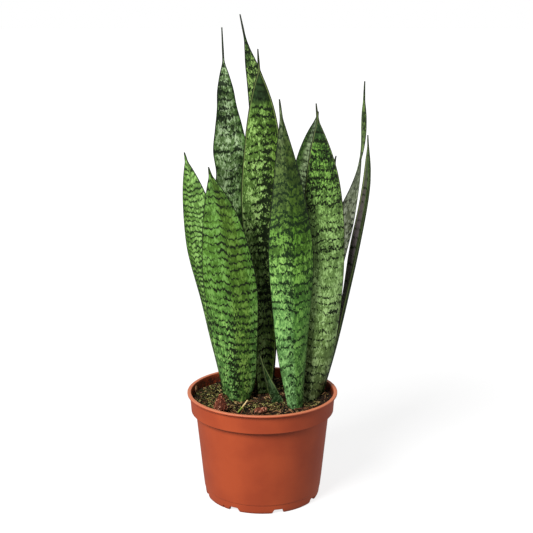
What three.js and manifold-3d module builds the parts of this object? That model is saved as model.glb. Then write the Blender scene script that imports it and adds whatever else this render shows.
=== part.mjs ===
// Potted snake plant: a 160 mm plastic nursery pot, filled almost to its rim
// with peat, and a clump of twelve upright sword-shaped leaves that grow from
// four rhizomes under the surface.
//
// Millimetres, +Z up. The leaves lean further to the right than to the left,
// so the pot's axis stands POT_X to the left of the origin, and the origin is
// on the ground below the middle of the whole plant.
import * as THREE from 'three';
import { mergeVertices } from 'three/addons/utils/BufferGeometryUtils.js';
import Module from 'manifold-3d';

const wasm = await Module();
wasm.setup();

// ---------------------------------------------------------------- dimensions
const POT_X = -13.5;         // pot axis, from the origin
const GAP = 0.4;             // clearance between pieces that touch

// Pot: injection-moulded, straight tapered body under a wider rim band.
const RIM_RADIUS = 80;       // edge of the flat lip
const LIP_THICK = 1.8;
const POT_HEIGHT = 114.5;
const BAND_TOP_RADIUS = 77.4;
const BAND_FOOT_RADIUS = 76;
const BAND_FOOT_Z = 94;      // ledge under the band
const BODY_TOP_RADIUS = 71.3;
const BODY_FOOT_RADIUS = 61.4;
const CREASE_Z = 10;         // shallow step round the foot of the body
const CREASE_STEP = 0.35;
const WALL = 1.2;
const FOOT_RADIUS = 60.2;    // outer edge of the ring that meets the ground
const FOOT_RING = 2.4;       // width of that ring
const FLOOR_Z = 4.6;         // underside of the pot's floor
const EDGE = 0.5;            // small bevel on the moulding's corners
const POT_SEGMENTS = 56;
const NOTCHES = 8;           // drain notches through the foot ring
const NOTCH_WIDTH = 12.5;
const NOTCH_ROOF = 8.5;      // width of the flat top of a notch
const NOTCH_SILL = 0.6;      // height at which a notch's sides start to slope
const NOTCH_HEIGHT = 4.4;
const NOTCH_FIRST = 16;      // degrees from the front, towards +X
const DRAIN_RADIUS = 3;      // hole through the floor behind each notch
const DRAIN_INSET = 8;       // from the foot ring's outer edge

// Soil: mounded a little, higher at the front than at the back.
const SOIL_Z = 102.8;        // surface height on the pot's axis
const SOIL_TILT = 0.05;      // fall towards the back, mm per mm
const SOIL_MOUND = 1.2;      // rise round the clump
const SOIL_LUMPS = 0.8;
const SOIL_BANK = 6;         // rise against the wall, except at the front
const SOIL_RINGS = 5;        // rings of corners across the surface
const SOIL_SEGMENTS = 36;

// Leaves and the rhizomes that carry them.
const LEAF_SIDES = 12;
const LEAF_STATIONS = 24;
const END_CROWDING = 0.6;    // 0 to 1: how much closer sections stand at the ends
const LEAF_FOOT_Z = 86;      // leaves leave their rhizome here
const LEAF_FOOT_THICK = 4.2;
const LEAF_TIP_THICK = 1.5;
const THINNING = 0.6;        // under 1, most of the thickness goes near the foot
const NECK_FOOT = 13;        // a necked leaf starts to open out this far up
const NECK_TOP = 40;         // and has opened out here
const UNFOLDED_AT = 0.62;    // where along the spine a channel has opened out
const AWL_FOOT = 2.8;        // the hard point that ends every leaf: where it starts
const AWL_TIP = 1.3;
const RHIZOME_RADIUS = 7;

// Each leaf: spine from its foot to its tip as [x, y, z] from the pot's axis,
// width at the foot and at the widest, where along the spine it is widest,
// how its outline falls from there (shoulder, point), length of the awl tip,
// which way its channelled side faces (degrees from the front, towards +X) at
// the foot and how far it twists by the tip, how deep the channel is at foot
// and tip (half angle in radians), and its margins' waves: how far they swing
// out of the blade, how many there are, and how much they change its width.
// A leaf with a neck is drawn in to that width where it enters the soil.
const LEAVES = {
  leaf_far_left: {
    spine: [[-34, 22, 86], [-49, 25, 185], [-64, 27, 270], [-73, 27, 322], [-81, 25, 366]],
    footWidth: 24, width: 46, widest: 0.62, shoulder: 2.1, point: 1.05, awl: 5,
    face: 146, twist: 8, footFold: 1.0, tipFold: 0.3, wave: 0.5, waves: 3, ripple: 0.015,
  },
  leaf_front_left: {
    spine: [[-25.5, -3, 86], [-29.5, -8, 150], [-34, -12, 228], [-42.5, -14, 300], [-54, -15, 356]],
    footWidth: 33, width: 58, widest: 0.5, shoulder: 2.2, point: 1, awl: 5,
    face: 166, twist: 6, footFold: 1.1, tipFold: 0.25, wave: 0.5, waves: 3, ripple: 0.015,
    neck: 12,
  },
  leaf_back_left: {
    spine: [[-24, 40, 86], [-33, 42, 200], [-37, 38, 300], [-34.5, 33, 365], [-38.5, 24, 436],
      [-40.5, 15, 493]],
    footWidth: 18, width: 35, widest: 0.7, shoulder: 1.5, point: 1, awl: 30,
    face: 34, twist: -14, footFold: 1.0, tipFold: 0.2, wave: 2.5, waves: 6, ripple: 0.06,
  },
  leaf_back_centre: {
    spine: [[6, 50, 86], [8, 50, 200], [6, 47, 310], [3.2, 44, 380], [-6.2, 41, 436],
      [-15, 37, 470], [-22.7, 35, 506]],
    footWidth: 17, width: 33, widest: 0.62, shoulder: 1.8, point: 0.8, awl: 26,
    face: -24, twist: 14, footFold: 1.0, tipFold: 0.3, wave: 0.8, waves: 4, ripple: 0.015,
  },
  leaf_centre: {
    spine: [[1.2, 31, 86], [1.6, 29, 160], [-1.6, 24, 290], [-0.3, 18, 390], [-4.3, 8, 472]],
    footWidth: 16, width: 43, widest: 0.62, shoulder: 2.4, point: 1, awl: 18,
    face: 12, twist: -6, footFold: 1.0, tipFold: 0.3, wave: 0.6, waves: 4, ripple: 0.015,
  },
  leaf_front_right: {
    spine: [[36.5, -28, 86], [32, -24, 165], [30.5, -22, 250], [26, -20, 335], [17.2, -20, 424]],
    footWidth: 13, width: 48, widest: 0.52, shoulder: 1.6, point: 1.15, awl: 9,
    face: 192, twist: -12, footFold: 1.1, tipFold: 0.35, wave: 0.5, waves: 3, ripple: 0.015,
  },
  leaf_right: {
    spine: [[47, -5, 86], [63, -1, 150], [66, 2, 250], [63, 4, 335], [54.6, 5, 418]],
    footWidth: 19, width: 48, widest: 0.5, shoulder: 2.8, point: 1.1, awl: 13,
    face: 204, twist: -10, footFold: 1.1, tipFold: 0.3, wave: 0.5, waves: 3, ripple: 0.015,
  },
  leaf_back_right: {
    spine: [[33, 12, 86], [40, 20, 190], [46, 26, 290], [49.5, 28, 350], [58, 28, 408]],
    footWidth: 15, width: 40, widest: 0.62, shoulder: 2.6, point: 0.9, awl: 5,
    face: -26, twist: 8, footFold: 1.0, tipFold: 0.5, wave: 0.5, waves: 3, ripple: 0.015,
  },
  leaf_hidden: {
    spine: [[48, 29, 86], [56, 34, 170], [62, 35, 250], [67, 33, 310], [77, 28, 362]],
    footWidth: 14, width: 28, widest: 0.6, shoulder: 3, point: 0.8, awl: 3,
    face: -40, twist: -15, footFold: 1.0, tipFold: 0.4, wave: 0.3, waves: 3, ripple: 0.015,
  },
  leaf_twisted: {
    spine: [[36, 43, 86], [56, 51, 180], [76, 57, 255], [91, 58, 300], [105, 52, 360],
      [107, 45, 438]],
    footWidth: 15, width: 36, widest: 0.6, shoulder: 2, point: 1, awl: 14,
    face: -71, twist: 202, footFold: 1.0, tipFold: 0.15, wave: 0.6, waves: 3, ripple: 0.015,
  },
  leaf_narrow_right: {
    spine: [[58, 13, 86], [78, 24, 152], [99.2, 29, 250], [112, 28, 334], [109.4, 25, 384]],
    footWidth: 13, width: 25, widest: 0.6, shoulder: 2.8, point: 1, awl: 8,
    face: -97, twist: 31, footFold: 0.5, tipFold: 0.9, wave: 0.5, waves: 3, ripple: 0.015,
  },
  leaf_young: {
    spine: [[20, -8, 86], [15, -10, 105], [5, -12, 132], [-3, -12, 158]],
    footWidth: 13, width: 13, widest: 0.3, shoulder: 1.6, point: 1, awl: 4,
    face: 30, twist: 0, footFold: 1.2, tipFold: 0.8, wave: 0, waves: 1, ripple: 0,
  },
};

// Each rhizome runs level under the feet of its own leaves, in this order.
const RHIZOME_Z = LEAF_FOOT_Z - GAP - RHIZOME_RADIUS;
const RHIZOMES = {
  rhizome_left: ['leaf_far_left', 'leaf_front_left', 'leaf_back_left'],
  rhizome_centre: ['leaf_young', 'leaf_centre', 'leaf_back_centre'],
  rhizome_right: ['leaf_front_right', 'leaf_right', 'leaf_narrow_right'],
  rhizome_back: ['leaf_back_right', 'leaf_hidden', 'leaf_twisted'],
};

// Loose pieces that lie on the soil: centre [x, y] from the pot's axis, size
// along their own length, width and height, and turn about +Z in degrees.
const CHUNKS = {
  coir_chunk_left: { at: [-43, -42], size: [19, 15, 21], turn: 72, peaked: true },
  coir_chunk_front: { at: [-1, -44], size: [16, 10, 6], turn: 20 },
  bark_chip: { at: [-71.5, 13], size: [6, 3, 8], turn: 80 },
};
const STRAW_RADIUS = 0.9;
const STRAW_ENDS = [[-25, -46, 1.6], [-15.5, -31, 9]];   // [x, y, height over the soil]

// ------------------------------------------------------------------ materials
function material(color, roughness) {
  return new THREE.MeshStandardMaterial({ color, roughness, metalness: 0 });
}

const potPlastic = material(0xb85c38, 0.55);
const peat = material(0x3a2a1e, 0.95);
const leafGreen = material(0x4f8a3c, 0.42);
const paleLeafGreen = material(0x86a07a, 0.45);
const rhizomeSkin = material(0xc98a4b, 0.7);
const coirBrown = material(0x6e3a26, 0.95);
const strawYellow = material(0xb59a5c, 0.8);

// -------------------------------------------------------------------- helpers
const mix = THREE.MathUtils.lerp;
const radians = THREE.MathUtils.degToRad;

// A closed geometry with its shared corners merged, holding position only.
function closed(geometry) {
  const bare = geometry.clone();
  bare.deleteAttribute('normal');
  bare.deleteAttribute('uv');
  return mergeVertices(bare, 1e-4);
}

function toSolid(geometry) {
  const merged = closed(geometry);
  return new wasm.Manifold(new wasm.Mesh({
    numProp: 3,
    vertProperties: new Float32Array(merged.attributes.position.array),
    triVerts: new Uint32Array(merged.index.array),
  }));
}

function toGeometry(solid) {
  const mesh = solid.getMesh();
  const geometry = new THREE.BufferGeometry();
  geometry.setAttribute('position', new THREE.BufferAttribute(mesh.vertProperties, 3));
  geometry.setIndex(new THREE.BufferAttribute(mesh.triVerts, 1));
  return geometry;
}

function piece(name, geometry, surface) {
  const mesh = new THREE.Mesh(geometry, surface);
  mesh.name = name;
  return mesh;
}

// A lathe profile of [radius, height] corners turned about +Z.
function turned(profile, segments) {
  const points = profile.map(([radius, height]) => new THREE.Vector2(radius, height));
  return new THREE.LatheGeometry(points, segments).rotateX(Math.PI / 2);
}

// Height of the soil's surface above a point, from the pot's axis.
function soilHeight(x, y) {
  const mound = SOIL_MOUND * Math.cos(Math.hypot(x, y) / 24);
  const lumps = SOIL_LUMPS * Math.sin(x / 9 + 1) * Math.cos(y / 11);
  const outwards = THREE.MathUtils.smoothstep(Math.hypot(x, y), 46, 74);
  const bank = SOIL_BANK * outwards * THREE.MathUtils.smoothstep(y, -50, -5);
  return SOIL_Z - SOIL_TILT * y + mound + lumps + bank;
}

// ------------------------------------------------------------------------ pot
// Outer radius of the tapered body at a height.
function bodyRadius(z) {
  return mix(BODY_FOOT_RADIUS, BODY_TOP_RADIUS, z / BAND_FOOT_Z);
}

function potShell() {
  const footInner = FOOT_RADIUS - FOOT_RING;
  const floorTop = FLOOR_Z + WALL;
  const lipUnder = POT_HEIGHT - LIP_THICK;
  return turned([
    [0, FLOOR_Z],
    [footInner - 0.8, FLOOR_Z],
    [footInner, 0],
    [FOOT_RADIUS, 0],
    [BODY_FOOT_RADIUS - EDGE, 1],
    [BODY_FOOT_RADIUS, 3],
    [bodyRadius(CREASE_Z) - CREASE_STEP, CREASE_Z],
    [bodyRadius(CREASE_Z), CREASE_Z + EDGE],
    [BODY_TOP_RADIUS, BAND_FOOT_Z],
    [BAND_FOOT_RADIUS - EDGE, BAND_FOOT_Z],
    [BAND_FOOT_RADIUS, BAND_FOOT_Z + EDGE],
    [BAND_TOP_RADIUS, lipUnder - EDGE],
    [BAND_TOP_RADIUS + EDGE, lipUnder],
    [RIM_RADIUS - EDGE, lipUnder],
    [RIM_RADIUS, lipUnder + EDGE],
    [RIM_RADIUS, POT_HEIGHT - EDGE],
    [RIM_RADIUS - EDGE, POT_HEIGHT],
    [BAND_TOP_RADIUS - WALL, POT_HEIGHT],
    [BAND_FOOT_RADIUS - WALL, BAND_FOOT_Z + WALL],
    [bodyRadius(BAND_FOOT_Z) - WALL, BAND_FOOT_Z + WALL],
    [bodyRadius(floorTop + 3) - WALL, floorTop + 3],
    [bodyRadius(floorTop) - WALL - 2, floorTop],
    [0, floorTop],
  ], POT_SEGMENTS);
}

// A tunnel through the foot ring, with sloping sides, that also opens the
// floor just inside the ring so that water drains.
function notchCutter(angle) {
  const outline = new THREE.Shape([
    new THREE.Vector2(-NOTCH_WIDTH / 2, -1),
    new THREE.Vector2(NOTCH_WIDTH / 2, -1),
    new THREE.Vector2(NOTCH_WIDTH / 2, NOTCH_SILL),
    new THREE.Vector2(NOTCH_ROOF / 2, NOTCH_HEIGHT),
    new THREE.Vector2(-NOTCH_ROOF / 2, NOTCH_HEIGHT),
    new THREE.Vector2(-NOTCH_WIDTH / 2, NOTCH_SILL),
  ]);
  const tunnel = new THREE.ExtrudeGeometry(outline, {
    depth: DRAIN_INSET + FOOT_RING + 2, bevelEnabled: false,
  });
  tunnel.rotateX(Math.PI / 2);
  const drain = new THREE.CylinderGeometry(DRAIN_RADIUS, DRAIN_RADIUS, 8, 16);
  drain.rotateX(Math.PI / 2).translate(0, 0, FLOOR_Z);
  const cutter = toSolid(tunnel).add(toSolid(drain));
  return cutter.translate([0, DRAIN_INSET - FOOT_RADIUS, 0]).rotate([0, 0, angle]);
}

function pot() {
  let shell = toSolid(potShell());
  for (let i = 0; i < NOTCHES; i += 1) {
    shell = shell.subtract(notchCutter(NOTCH_FIRST + i * 360 / NOTCHES));
  }
  return piece('pot', toGeometry(shell), potPlastic);
}

// --------------------------------------------------------------------- leaves
// Full width of the blade at t, from 0 at the foot to 1 at the tip. Towards
// the foot a neck opens out into the blade in a quarter circle.
function bladeWidth(leaf, t, length) {
  const bladeEnd = 1 - leaf.awl / length;
  if (leaf.neck && t * length < NECK_TOP) {
    const open = Math.max(t * length - NECK_FOOT, 0) / (NECK_TOP - NECK_FOOT);
    const blade = mix(leaf.footWidth, leaf.width, Math.sin(t / leaf.widest * Math.PI / 2));
    return mix(leaf.neck, blade, Math.sqrt(1 - (1 - open) ** 2));
  }
  const rise = Math.min(t / leaf.widest, 1);
  const ripple = 1 + leaf.ripple * Math.cos(2 * Math.PI * leaf.waves * (t - leaf.widest));
  if (rise < 1) {
    return ripple * mix(leaf.footWidth, leaf.width, Math.sin(rise * Math.PI / 2));
  }
  const fall = Math.min((t - leaf.widest) / (bladeEnd - leaf.widest), 1);
  return ripple * leaf.width * (1 - fall ** leaf.shoulder) ** leaf.point;
}

// Width of the awl at t, which holds wherever the blade is narrower.
function awlWidth(leaf, t, length) {
  const bladeEnd = 1 - leaf.awl / length;
  return mix(AWL_FOOT, AWL_TIP, Math.max((t - bladeEnd) / (1 - bladeEnd), 0));
}

// A leaf is a closed tube bent along its spine. Its section is a thin lens,
// curved into a channel that is deepest at the foot. Grown by a margin, the
// same shape cuts the leaf's slot in the soil.
function leafGeometry(leaf, margin = 0) {
  const spine = new THREE.CatmullRomCurve3(leaf.spine.map((p) => new THREE.Vector3(...p)));
  const length = spine.getLength();
  const geometry = new THREE.CylinderGeometry(1, 1, 1, LEAF_SIDES, LEAF_STATIONS);
  const place = geometry.attributes.position;
  const point = new THREE.Vector3();
  for (let i = 0; i < place.count; i += 1) {
    point.fromBufferAttribute(place, i);
    const across = point.x;
    const through = point.z;
    const rise = point.y + 0.5;
    const t = rise - END_CROWDING * Math.sin(2 * Math.PI * rise) / (2 * Math.PI);
    const tangent = spine.getTangentAt(t);
    const azimuth = radians(leaf.face + leaf.twist * t);
    const front = new THREE.Vector3(Math.sin(azimuth), -Math.cos(azimuth), 0);
    front.addScaledVector(tangent, -front.dot(tangent)).normalize();
    const side = new THREE.Vector3().crossVectors(tangent, front);

    const slack = rise < 1e-6 ? 2 * margin : margin;
    const half = Math.max(bladeWidth(leaf, t, length), awlWidth(leaf, t, length)) / 2;
    const thick = mix(LEAF_FOOT_THICK, LEAF_TIP_THICK, t ** THINNING) / 2 + slack;
    const fold = mix(leaf.footFold, leaf.tipFold, Math.min(t / UNFOLDED_AT, 1));
    const angle = fold * across * (1 + slack / half);
    const radius = half / fold;
    const depth = thick * through;
    const swing = Math.sin(2 * Math.PI * leaf.waves * t) * Math.sin(Math.PI * t);
    const wave = leaf.wave * swing * across;
    const sideways = (radius - depth) * Math.sin(angle);
    const forward = radius * (1 - Math.cos(angle)) + depth * Math.cos(angle) + wave;
    point.copy(spine.getPointAt(t));
    point.addScaledVector(side, sideways).addScaledVector(front, forward);
    if (rise < 1e-6) {
      point.z = LEAF_FOOT_Z - slack;
    }
    place.setXYZ(i, point.x, point.y, point.z);
  }
  return geometry;
}

// ------------------------------------------------------------------- rhizomes
// A round stem that passes under the foot of each of its leaves.
function rhizomeGeometry(leafNames, margin = 0) {
  const feet = leafNames.map((name) => LEAVES[name].spine[0]);
  const curve = new THREE.CatmullRomCurve3(
    feet.map(([x, y]) => new THREE.Vector3(x, y, RHIZOME_Z)));
  const section = new THREE.Shape().absarc(0, 0, RHIZOME_RADIUS + margin, 0, 2 * Math.PI);
  return new THREE.ExtrudeGeometry(section, {
    extrudePath: curve, steps: 12, curveSegments: 6, bevelEnabled: false,
  });
}

// ----------------------------------------------------------------------- soil
// The block fills the pot up to its rim band, and its top corners are then
// lowered onto the surface.
function soilBlock() {
  const skin = WALL + GAP;
  const bottom = FLOOR_Z + skin;
  const ledge = BAND_FOOT_Z + skin;
  const surface = [];
  for (let ring = SOIL_RINGS; ring >= 0; ring -= 1) {
    surface.push([(BAND_FOOT_RADIUS - skin) * ring / SOIL_RINGS, POT_HEIGHT]);
  }
  const block = turned([
    [0, bottom],
    [bodyRadius(bottom) - skin - 2.2, bottom],
    [bodyRadius(bottom + 3) - skin, bottom + 3],
    [bodyRadius(BAND_FOOT_Z) - skin, ledge],
    [BAND_FOOT_RADIUS - skin, ledge],
    ...surface,
  ], SOIL_SEGMENTS);
  const place = block.attributes.position;
  for (let i = 0; i < place.count; i += 1) {
    if (place.getZ(i) > ledge + 1) {
      place.setZ(i, soilHeight(place.getX(i), place.getY(i)));
    }
  }
  return block;
}

function soil() {
  let block = toSolid(soilBlock());
  for (const leaf of Object.values(LEAVES)) {
    block = block.subtract(toSolid(leafGeometry(leaf, GAP)));
  }
  for (const leafNames of Object.values(RHIZOMES)) {
    block = block.subtract(toSolid(rhizomeGeometry(leafNames, GAP)));
  }
  // The cuts can leave a loose crumb between two slots: only the block is kept.
  const largest = block.decompose().reduce((a, b) => (a.volume() > b.volume() ? a : b));
  return piece('soil', toGeometry(largest), peat);
}

// -------------------------------------------------------- pieces on the soil
// A rough lump: a faceted ball stretched to its size, each corner drawn in or
// out, standing clear of the soil below it. A peaked one has a broad foot and
// narrows to its top.
function chunkGeometry({
  at: [x, y], size: [length, width, height], turn, peaked = false,
}) {
  const lump = closed(new THREE.IcosahedronGeometry(0.5, 1));
  const place = lump.attributes.position;
  for (let i = 0; i < place.count; i += 1) {
    const z = place.getZ(i);
    const rough = (1 + 0.14 * Math.sin(i * 2.4)) * (peaked ? 1 - 1.1 * Math.max(z, 0) : 1);
    const level = peaked ? (Math.max(z, 0.4 * z) + 0.2) / 0.7 - 0.5 : z;
    place.setXYZ(i, place.getX(i) * rough, place.getY(i) * rough, level);
  }
  const reach = Math.max(length, width) / 2;
  const clear = Math.max(
    soilHeight(x - reach, y), soilHeight(x + reach, y),
    soilHeight(x, y - reach), soilHeight(x, y + reach), soilHeight(x, y));
  return lump.scale(length, width, height).rotateZ(radians(turn))
    .translate(x, y, clear + GAP + height / 2);
}

// A dry stalk that leans on the soil at its near end.
function strawGeometry() {
  const [near, far] = STRAW_ENDS.map(([x, y, lift]) => (
    new THREE.Vector3(x, y, soilHeight(x, y) + lift)));
  const section = new THREE.Shape().absarc(0, 0, STRAW_RADIUS, 0, 2 * Math.PI);
  return new THREE.ExtrudeGeometry(section, {
    extrudePath: new THREE.LineCurve3(near, far), steps: 4, curveSegments: 4, bevelEnabled: false,
  });
}

// ------------------------------------------------------------------- assembly
const plant = new THREE.Group();
plant.name = 'potted_snake_plant';
plant.position.x = POT_X;
plant.add(pot());
plant.add(soil());

const PALE = ['leaf_back_left', 'leaf_twisted', 'leaf_back_right'];
for (const [name, leaf] of Object.entries(LEAVES)) {
  plant.add(piece(name, leafGeometry(leaf), PALE.includes(name) ? paleLeafGreen : leafGreen));
}
for (const [name, leafNames] of Object.entries(RHIZOMES)) {
  plant.add(piece(name, rhizomeGeometry(leafNames), rhizomeSkin));
}

for (const [name, chunk] of Object.entries(CHUNKS)) {
  plant.add(piece(name, chunkGeometry(chunk), coirBrown));
}
plant.add(piece('straw_stalk', strawGeometry(), strawYellow));

export default plant;
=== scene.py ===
import math
import random

import bmesh
import bpy
import numpy as np
from mathutils import Matrix, Vector, noise
from mathutils.bvhtree import BVHTree


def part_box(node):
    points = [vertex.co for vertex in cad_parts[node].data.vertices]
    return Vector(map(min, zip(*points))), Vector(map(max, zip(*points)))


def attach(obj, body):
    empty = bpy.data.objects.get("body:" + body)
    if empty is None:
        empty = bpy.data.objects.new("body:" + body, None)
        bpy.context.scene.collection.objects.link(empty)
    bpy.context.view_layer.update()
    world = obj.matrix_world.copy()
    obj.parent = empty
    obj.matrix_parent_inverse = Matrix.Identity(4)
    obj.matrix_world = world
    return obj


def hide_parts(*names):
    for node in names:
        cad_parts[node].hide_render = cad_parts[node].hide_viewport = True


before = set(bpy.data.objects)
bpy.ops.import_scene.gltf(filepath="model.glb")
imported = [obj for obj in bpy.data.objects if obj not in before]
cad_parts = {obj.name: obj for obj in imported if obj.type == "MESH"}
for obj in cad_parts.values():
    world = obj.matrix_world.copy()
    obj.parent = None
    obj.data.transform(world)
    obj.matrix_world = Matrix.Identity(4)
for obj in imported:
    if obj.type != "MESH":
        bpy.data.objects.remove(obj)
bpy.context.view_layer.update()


# ------------------------------------------------------------------ nursery pot
# Nursery pot with a 160 mm rim: terracotta-coloured polypropylene, injection-moulded in one
# piece. A wider band stiffens the rim, and the foot ring it stands on is cut by eight drain
# notches and one narrow slit. The plant is lowered in with its peat and rests in it loose.
MM = 0.001
pot_low, pot_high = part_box("pot")
POT_AXIS = Vector(((pot_low.x + pot_high.x) / 2, (pot_low.y + pot_high.y) / 2, 0))
POT_HEIGHT = pot_high.z / MM
FOOT_RADIUS = 60.2           # outer edge of the ring that meets the ground
FOOT_RING_INSIDE = 57.8      # and its inner edge
NOTCH_ANGLES = [16 + 45 * i for i in range(8)]     # degrees from the front, towards +X
# Half a notch's width at each height, from the ground up to its roof, and the slit's.
NOTCH_SHAPE = [(6.25, 0), (6.2, 0.6), (5.9, 1.5), (4.9, 3.6), (4.4, 4.2), (3.6, 4.4)]
SLIT_ANGLE = -41.5
SLIT_SHAPE = [(0.75, 0), (0.7, 3.0), (0.3, 3.6)]
CUTS = [(angle, NOTCH_SHAPE) for angle in NOTCH_ANGLES] + [(SLIT_ANGLE, SLIT_SHAPE)]
DRAIN_RADIUS = 3.0
DRAIN_CIRCLE = 52.2          # radius that the drains' middles stand on
DRAIN_SIDES = 24
DRILL_SPAN = (3.0, 7.5)      # heights that the drill passes through, past both faces
POT_COLUMNS = 240
COLUMN_GAP = 0.02            # degrees: columns closer than this become one
NOTCH_CORNER = 0.03          # degrees from a notch's foot to the ground beside it
# Outside from the middle of the floor to the lip, then down the inside: radius, height, fillet.
POT_PROFILE = [
    (0, 4.6, 0), (50, 4.6, 0), (57.0, 4.6, 0.3), (57.8, 0, 0.35), (60.2, 0, 0.5), (61.2, 2.0, 0.8),
    (61.7, 5.4, 0), (62.1, 9.6, 0.15), (62.6, 10.1, 0.3), (64.0, 22, 0), (67.6, 58, 0),
    (71.3, 94.0, 0.35), (75.9, 94.0, 0.5), (77.3, 112.4, 0.45), (80.0, 112.6, 0.6),
    (80.0, 114.5, 0.7), (76.2, 114.5, 0.5), (74.8, 95.3, 0.5), (70.1, 95.1, 0.6),
    (61.0, 8.8, 1.4), (58.6, 5.8, 1.2), (50, 5.8, 0), (0, 5.8, 0),
]
TERRACOTTA = "#AB4721"
TERRACOTTA_DEEP = "#9E3E1C"
TERRACOTTA_WORN_HIGHLIGHT = "#C97C5A"
POT_DUST_AND_SHADE = "#2A1A10"


def paint(code):
    """An sRGB hex colour as the linear RGBA that a shader takes."""
    channels = [int(code[i:i + 2], 16) / 255 for i in (1, 3, 5)]
    return [c / 12.92 if c <= 0.04045 else ((c + 0.055) / 1.055) ** 2.4 for c in channels] + [1]


def feed(tree, node, inputs):
    """Gives a node its inputs, each a plain value or another node's output."""
    for name, value in inputs.items():
        if isinstance(value, bpy.types.NodeSocket):
            tree.links.new(value, node.inputs[name])
        else:
            node.inputs[name].default_value = value


def add_node(tree, kind, inputs=None, stops=None, output=0, **settings):
    """Adds a shader node with its settings and links, and returns one of its outputs.
    Stops are a colour ramp's."""
    made = tree.nodes.new("ShaderNode" + kind)
    for name, value in settings.items():
        setattr(made, name, value)
    feed(tree, made, inputs or {})
    if stops:
        ramp = made.color_ramp.elements
        ramp.remove(ramp[1])
        for number, (place, value) in enumerate(stops):
            element = ramp.new(place) if number else ramp[0]
            element.position = place
            element.color = paint(value) if isinstance(value, str) else (value, value, value, 1)
    return made.outputs[output]


def new_material(name):
    """An empty material: its node tree and its principled shader."""
    material = bpy.data.materials.new(name)
    material.use_nodes = True
    shader = material.node_tree.nodes["Principled BSDF"]
    return material, material.node_tree, shader


def add_mesh(name, corners, faces, material, smooth=True):
    """A mesh object from corners in metres and faces of corner numbers."""
    mesh = bpy.data.meshes.new(name)
    mesh.from_pydata([tuple(c) for c in corners], [], faces)
    mesh.materials.append(material)
    mesh.update()
    if smooth:
        mesh.shade_smooth()
    made = bpy.data.objects.new(name, mesh)
    bpy.context.scene.collection.objects.link(made)
    return made


def filleted(profile, steps=4):
    """A profile of [radius, height] points with each corner rounded by its fillet."""
    points = []
    for i, (radius, height, fillet) in enumerate(profile):
        corner = Vector((radius, height))
        if not fillet:
            points.append(corner)
            continue
        back = Vector(profile[i - 1][:2]) - corner
        ahead = Vector(profile[i + 1][:2]) - corner
        # Two fillets never meet: each takes less than half of the edge between them.
        reach = min(fillet, back.length * 0.45, ahead.length * 0.45)
        start, end = corner + back.normalized() * reach, corner + ahead.normalized() * reach
        for step in range(steps + 1):
            t = step / steps
            points.append(start * (1 - t) ** 2 + corner * 2 * t * (1 - t) + end * t * t)
    return points


def notch_roof(angle):
    """Height of the foot ring's lower edge at an angle, where a notch or the slit lifts it."""
    roof = 0
    for centre, shape in CUTS:
        away = (angle - centre + 180) % 360 - 180
        if abs(away) < 90:
            across = abs(math.sin(math.radians(away))) * FOOT_RADIUS
            widths, heights = zip(*reversed(shape))
            roof = max(roof, np.interp(across, widths, heights, right=0))
    return roof


# The pot's columns of corners: evenly spaced, with more at the sides of each notch.
pot_angles = [i * 360 / POT_COLUMNS for i in range(POT_COLUMNS)]
for centre, shape in CUTS:
    for width, height in shape:
        swing = math.degrees(math.asin(width / FOOT_RADIUS))
        pot_angles += [centre - swing, centre + swing]
        if height == 0:
            swing += NOTCH_CORNER
            pot_angles += [centre - swing, centre + swing]
pot_angles = sorted(a % 360 for a in pot_angles)
pot_angles = [a for i, a in enumerate(pot_angles)
              if i == 0 or a - pot_angles[i - 1] > COLUMN_GAP]

outline = filleted(POT_PROFILE)
pot_corners, pot_faces = [], []
for angle in pot_angles:
    roof = notch_roof(angle)
    turn = math.radians(angle)
    for radius, height in outline[1:-1]:
        below = radius > FOOT_RING_INSIDE - 1 and height < roof
        pot_corners.append((POT_AXIS.x + radius * MM * math.sin(turn),
                            POT_AXIS.y - radius * MM * math.cos(turn),
                            (roof if below else height) * MM))
rows = len(outline) - 2
columns = len(pot_angles)
for column in range(columns):
    after = (column + 1) % columns
    for row in range(rows - 1):
        pot_faces.append((column * rows + row, after * rows + row,
                          after * rows + row + 1, column * rows + row + 1))
pot_faces.append([column * rows for column in reversed(range(columns))])
pot_faces.append([column * rows + rows - 1 for column in range(columns)])

# Polypropylene, moulded against a finely blasted mould: an even, dry half-matt colour, a little
# lighter along the top of the lip, partly rubbed wear and partly a painted highlight, with dried
# peat and painted shade on the inside and a faint cloudiness of flow.
polypropylene, tree, shader = new_material("moulded_polypropylene")
place = add_node(tree, "NewGeometry", output="Position")
height = add_node(tree, "SeparateXYZ", {"Vector": place}, output="Z")
cloud = add_node(tree, "TexNoise", {"Vector": place, "Scale": 1 / (35.7 * MM), "Detail": 3.0})
colour = add_node(tree, "ValToRGB", {"Fac": cloud}, stops=[
    (0.35, TERRACOTTA_DEEP), (0.65, TERRACOTTA)])
# The mould's blasting is about 0.1 mm; it is drawn at 0.5 mm so that it shows at all.
grain = add_node(tree, "TexNoise", {"Vector": place, "Scale": 1 / (0.5 * MM), "Detail": 2.0})
# Painted highlight: the top 1.2 mm of the lip turns paler, partly rubbed wear and partly the light
# caught on the lip's edge.
rubbed_and_highlight = add_node(tree, "MapRange", {
    "Value": height, "From Min": (POT_HEIGHT - 1.2) * MM, "From Max": POT_HEIGHT * MM,
    "To Max": 0.75})
colour = add_node(tree, "Mix", {"Factor": rubbed_and_highlight, 6: colour, 7: paint(TERRACOTTA_WORN_HIGHLIGHT)},
                  data_type="RGBA", output=2)
from_axis = add_node(tree, "VectorMath", {0: place, 1: POT_AXIS}, operation="SUBTRACT")
flat = add_node(tree, "VectorMath", {0: from_axis, 1: (1, 1, 0)}, operation="MULTIPLY")
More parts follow.
